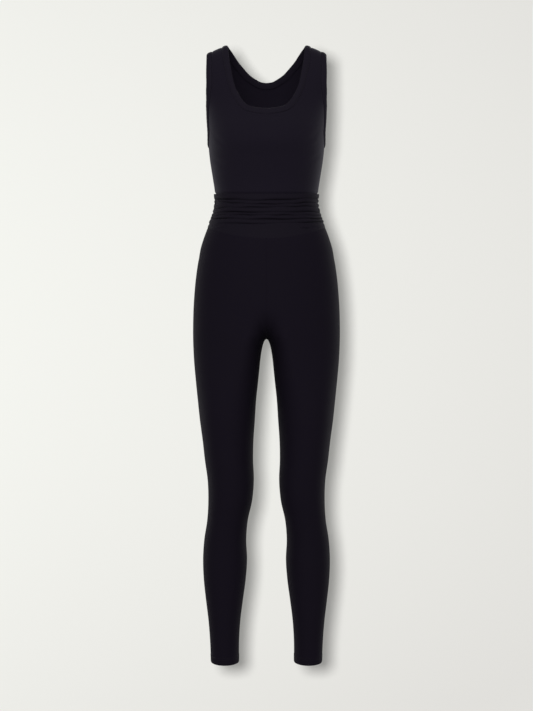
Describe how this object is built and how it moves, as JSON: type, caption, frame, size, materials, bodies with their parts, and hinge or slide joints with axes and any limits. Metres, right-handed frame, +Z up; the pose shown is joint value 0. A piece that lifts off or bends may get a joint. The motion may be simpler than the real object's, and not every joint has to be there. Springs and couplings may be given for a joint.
{
  "type": "sleeveless jumpsuit",
  "caption": "Sleeveless stretch jumpsuit with a scoop neck, a ruched waist panel and close-fitting full-length legs, in its worn form.",
  "frame": {"origin": "midway between the two shoulder straps, level with the middle of the shoulder line, where the wearer's shoulders carry the garment", "axes": "+Z up along the garment, +X towards the wearer's left, the front faces -Y"},
  "size_m": [0.3328, 0.2314, 1.3938],
  "materials": {
    "bodice_jersey": "matt black stretch jersey with a fine lengthwise rib and a soft sheen",
    "binding_jersey": "matt black stretch jersey, folded double",
    "waist_jersey": "matt black stretch jersey, gathered",
    "leg_jersey": "matt black stretch jersey with a soft sheen"
  },
  "bodies": {
    "root": {"bodice_front": "bodice_jersey", "bodice_back": "bodice_jersey", "neck_binding": "binding_jersey", "armhole_binding_left": "binding_jersey", "armhole_binding_right": "binding_jersey", "waist_panel_front": "waist_jersey", "waist_panel_back": "waist_jersey", "leg_left": "leg_jersey", "leg_right": "leg_jersey"}
  },
  "joints": []
}
